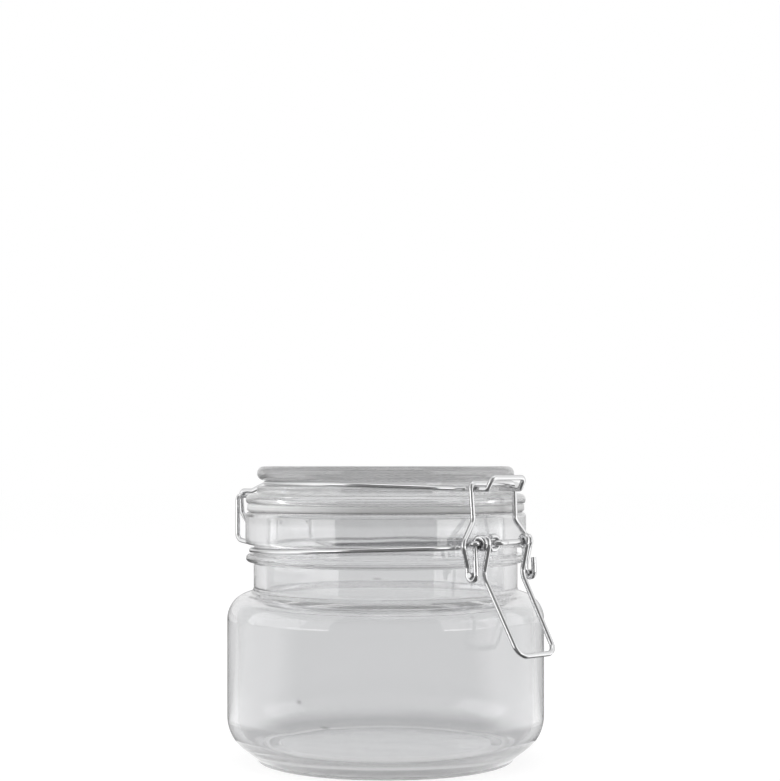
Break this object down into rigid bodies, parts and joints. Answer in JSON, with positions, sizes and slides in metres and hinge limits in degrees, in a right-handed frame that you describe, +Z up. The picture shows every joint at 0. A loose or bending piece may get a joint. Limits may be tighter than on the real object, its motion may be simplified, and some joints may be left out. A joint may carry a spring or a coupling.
{
  "type": "preserving jar",
  "caption": "Clear glass preserving jar with a hinged glass lid, a rubber gasket and an over-centre wire latch. Empty.",
  "frame": {"origin": "on the jar's axis, in the plane of its foot", "axes": "+Z up along the jar's axis, the latch towards -Y, the hinge towards +Y"},
  "size_m": [0.108, 0.1328, 0.1],
  "materials": {
    "glass": "clear blown soda-lime glass",
    "lid_glass": "clear pressed soda-lime glass",
    "gasket": "pale translucent silicone rubber",
    "wire": "bright drawn steel wire"
  },
  "bodies": {
    "jar": {"jar_glass": "glass", "neck_ring": "wire"},
    "lid": {"lid_glass": "lid_glass", "gasket": "gasket", "lid_ring": "wire"},
    "lever": {"lever": "wire"},
    "bail": {"bail": "wire"}
  },
  "joints": [
    {"name": "lid_hinge", "type": "hinge", "parent": "jar", "child": "lid", "pos_m": [0, 0.0617, 0.0893], "axis": [-1, 0, 0], "range_deg": [0, 105]},
    {"name": "lever_pivot", "type": "hinge", "parent": "jar", "child": "lever", "pos_m": [0, -0.0537, 0.0755], "axis": [-1, 0, 0], "range_deg": [0, 90]},
    {"name": "bail_pivot", "type": "hinge", "parent": "lever", "child": "bail", "pos_m": [0, -0.0526, 0.0655], "axis": [-1, 0, 0], "range_deg": [-131, 0]}
  ],
  "couplings": [
    {"joint": "bail_pivot", "follows": "lever_pivot", "ratio": -1.45}
  ]
}
